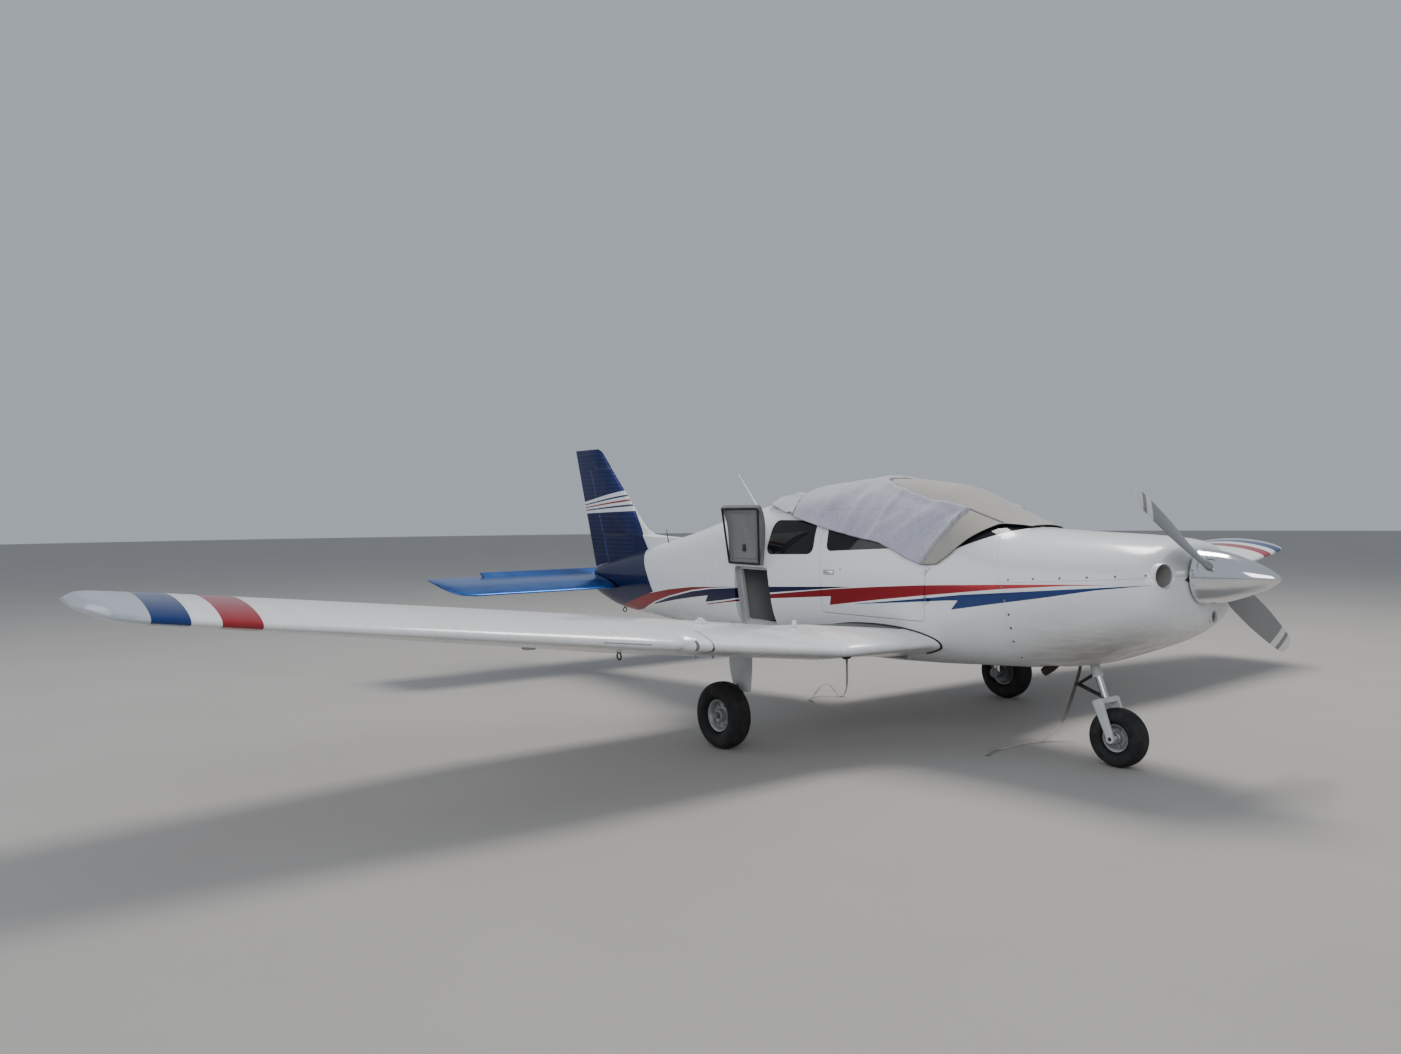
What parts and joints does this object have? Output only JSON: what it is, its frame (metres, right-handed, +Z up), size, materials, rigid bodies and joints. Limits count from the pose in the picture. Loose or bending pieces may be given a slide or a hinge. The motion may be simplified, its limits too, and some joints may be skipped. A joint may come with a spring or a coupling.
{
  "type": "light aircraft",
  "caption": "Four-seat low-wing single-engine light aircraft on fixed tricycle gear, with a raised baggage door, all-moving tail and a loosely thrown cabin cover.",
  "frame": {"origin": "centre of the box's bottom face, on the ground plane between the tyres", "axes": "+X to the nose, +Y to the left wing tip, +Z up"},
  "size_m": [7.3, 10.7, 2.24],
  "materials": {
    "white_paint": "gloss",
    "navy_paint": "gloss metallic",
    "blue_paint": "gloss metallic",
    "clear_tip": "clear gloss",
    "tinted_glazing": "clear gloss",
    "spinner_metal": "polished",
    "blade_paint": "satin",
    "wheel_metal": "satin",
    "gear_steel": "satin",
    "engine_iron": "matte",
    "tyre_rubber": "matte",
    "aerial_black": "satin",
    "cabin_trim": "matte",
    "seat_cloth": "woven",
    "cover_cloth": "quilted",
    "strap_webbing": "woven"
  },
  "bodies": {
    "airframe": {"cowl_top": "white_paint", "cowl_bottom": "white_paint", "engine_block": "engine_iron", "exhaust_pipe": "engine_iron", "firewall": "gear_steel", "cabin_roof": "white_paint", "cabin_floor": "white_paint", "left_side_wall": "white_paint", "right_side_wall": "white_paint", "windscreen_right": "tinted_glazing", "windscreen_left": "tinted_glazing", "windscreen_post": "white_paint", "rear_window_right": "tinted_glazing", "rear_window_left": "tinted_glazing", "front_window_left": "tinted_glazing", "instrument_panel": "cabin_trim", "front_seat_right": "seat_cloth", "front_seat_left": "seat_cloth", "rear_seat": "seat_cloth", "tail_cone": "white_paint", "fin": "navy_paint", "right_wing": "white_paint", "left_wing": "white_paint", "right_wing_tip": "clear_tip", "left_wing_tip": "clear_tip", "right_gear_leg": "gear_steel", "right_axle": "gear_steel", "left_gear_leg": "gear_steel", "left_axle": "gear_steel", "nose_strut_mount": "gear_steel", "roof_aerial": "aerial_black", "tail_aerial": "aerial_black", "tail_tie_down": "gear_steel", "cover": "cover_cloth", "strap_front": "strap_webbing", "strap_rear": "strap_webbing"},
    "propeller_group": {"propeller": "blade_paint", "spinner": "spinner_metal", "spinner_backplate": "spinner_metal"},
    "steered_fork": {"nose_fork": "gear_steel"},
    "nose_wheel_group": {"nose_tyre": "tyre_rubber", "nose_wheel": "wheel_metal"},
    "right_wheel_group": {"right_main_tyre": "tyre_rubber", "right_main_wheel": "wheel_metal"},
    "left_wheel_group": {"left_main_tyre": "tyre_rubber", "left_main_wheel": "wheel_metal"},
    "door": {"cabin_door": "white_paint", "cabin_door_window": "tinted_glazing", "cover_door_flap": "cover_cloth"},
    "baggage_lid": {"baggage_door": "white_paint"},
    "rudder_group": {"rudder": "navy_paint"},
    "right_aileron_group": {"right_aileron": "white_paint"},
    "left_aileron_group": {"left_aileron": "white_paint"},
    "right_flap_group": {"right_flap": "white_paint"},
    "left_flap_group": {"left_flap": "white_paint"},
    "stabilator_group": {"stabilator": "blue_paint"},
    "tab_group": {"stabilator_tab": "blue_paint"}
  },
  "joints": [
    {"name": "propeller_spin", "type": "hinge", "parent": "airframe", "child": "propeller_group", "pos_m": [3.305, 0, 1.188], "axis": [1, 0, 0], "continuous": true},
    {"name": "nose_steer", "type": "hinge", "parent": "airframe", "child": "steered_fork", "pos_m": [2.514, 0, 0.64], "axis": [-0.342, 0, 0.9397], "range_deg": [-30, 30]},
    {"name": "nose_wheel_spin", "type": "hinge", "parent": "steered_fork", "child": "nose_wheel_group", "pos_m": [2.688, 0, 0.18], "axis": [0, 1, 0], "continuous": true},
    {"name": "right_wheel_spin", "type": "hinge", "parent": "airframe", "child": "right_wheel_group", "pos_m": [0.73, -1.524, 0.2225], "axis": [0, 1, 0], "continuous": true},
    {"name": "left_wheel_spin", "type": "hinge", "parent": "airframe", "child": "left_wheel_group", "pos_m": [0.73, 1.524, 0.2225], "axis": [0, 1, 0], "continuous": true},
    {"name": "cabin_door_swing", "type": "hinge", "parent": "airframe", "child": "door", "pos_m": [1.642, -0.56, 1.143], "axis": [0, 0.1132, 0.9936], "range_deg": [0, 70]},
    {"name": "baggage_door_swing", "type": "hinge", "parent": "airframe", "child": "baggage_lid", "pos_m": [-0.38, -0.49576, 1.15], "axis": [0.9948, -0.1017, 0], "range_deg": [0, 174]},
    {"name": "rudder_swing", "type": "hinge", "parent": "airframe", "child": "rudder_group", "pos_m": [-3.0112, 0, 1.1], "axis": [-0.3321, 0, 0.9432], "range_deg": [-27, 27]},
    {"name": "right_aileron_swing", "type": "hinge", "parent": "airframe", "child": "right_aileron_group", "pos_m": [0.379, -3.86, 1.00587], "axis": [-0.0714, 0.9881, -0.1366], "range_deg": [-15, 30]},
    {"name": "left_aileron_swing", "type": "hinge", "parent": "airframe", "child": "left_aileron_group", "pos_m": [0.379, 3.86, 1.00587], "axis": [0.0714, 0.9881, 0.1366], "range_deg": [-15, 30]},
    {"name": "right_flap_swing", "type": "hinge", "parent": "airframe", "child": "right_flap_group", "pos_m": [0.336, -1.685, 0.73575], "axis": [0, -0.9939, 0.1106], "range_deg": [0, 40]},
    {"name": "left_flap_swing", "type": "hinge", "parent": "airframe", "child": "left_flap_group", "pos_m": [0.336, 1.685, 0.73575], "axis": [0, -0.9939, -0.1106], "range_deg": [0, 40]},
    {"name": "stabilator_swing", "type": "hinge", "parent": "airframe", "child": "stabilator_group", "pos_m": [-2.88, 0, 0.87], "axis": [0, 1, 0], "range_deg": [-11, 5]},
    {"name": "tab_swing", "type": "hinge", "parent": "stabilator_group", "child": "tab_group", "pos_m": [-3.30471, 0, 0.93727], "axis": [0, 1, 0], "range_deg": [-6, 3]}
  ],
  "couplings": [
    {"joint": "rudder_swing", "follows": "nose_steer", "ratio": -0.9},
    {"joint": "left_aileron_swing", "follows": "right_aileron_swing", "ratio": -0.5},
    {"joint": "left_flap_swing", "follows": "right_flap_swing", "ratio": 1},
    {"joint": "tab_swing", "follows": "stabilator_swing", "ratio": 0.5}
  ]
}
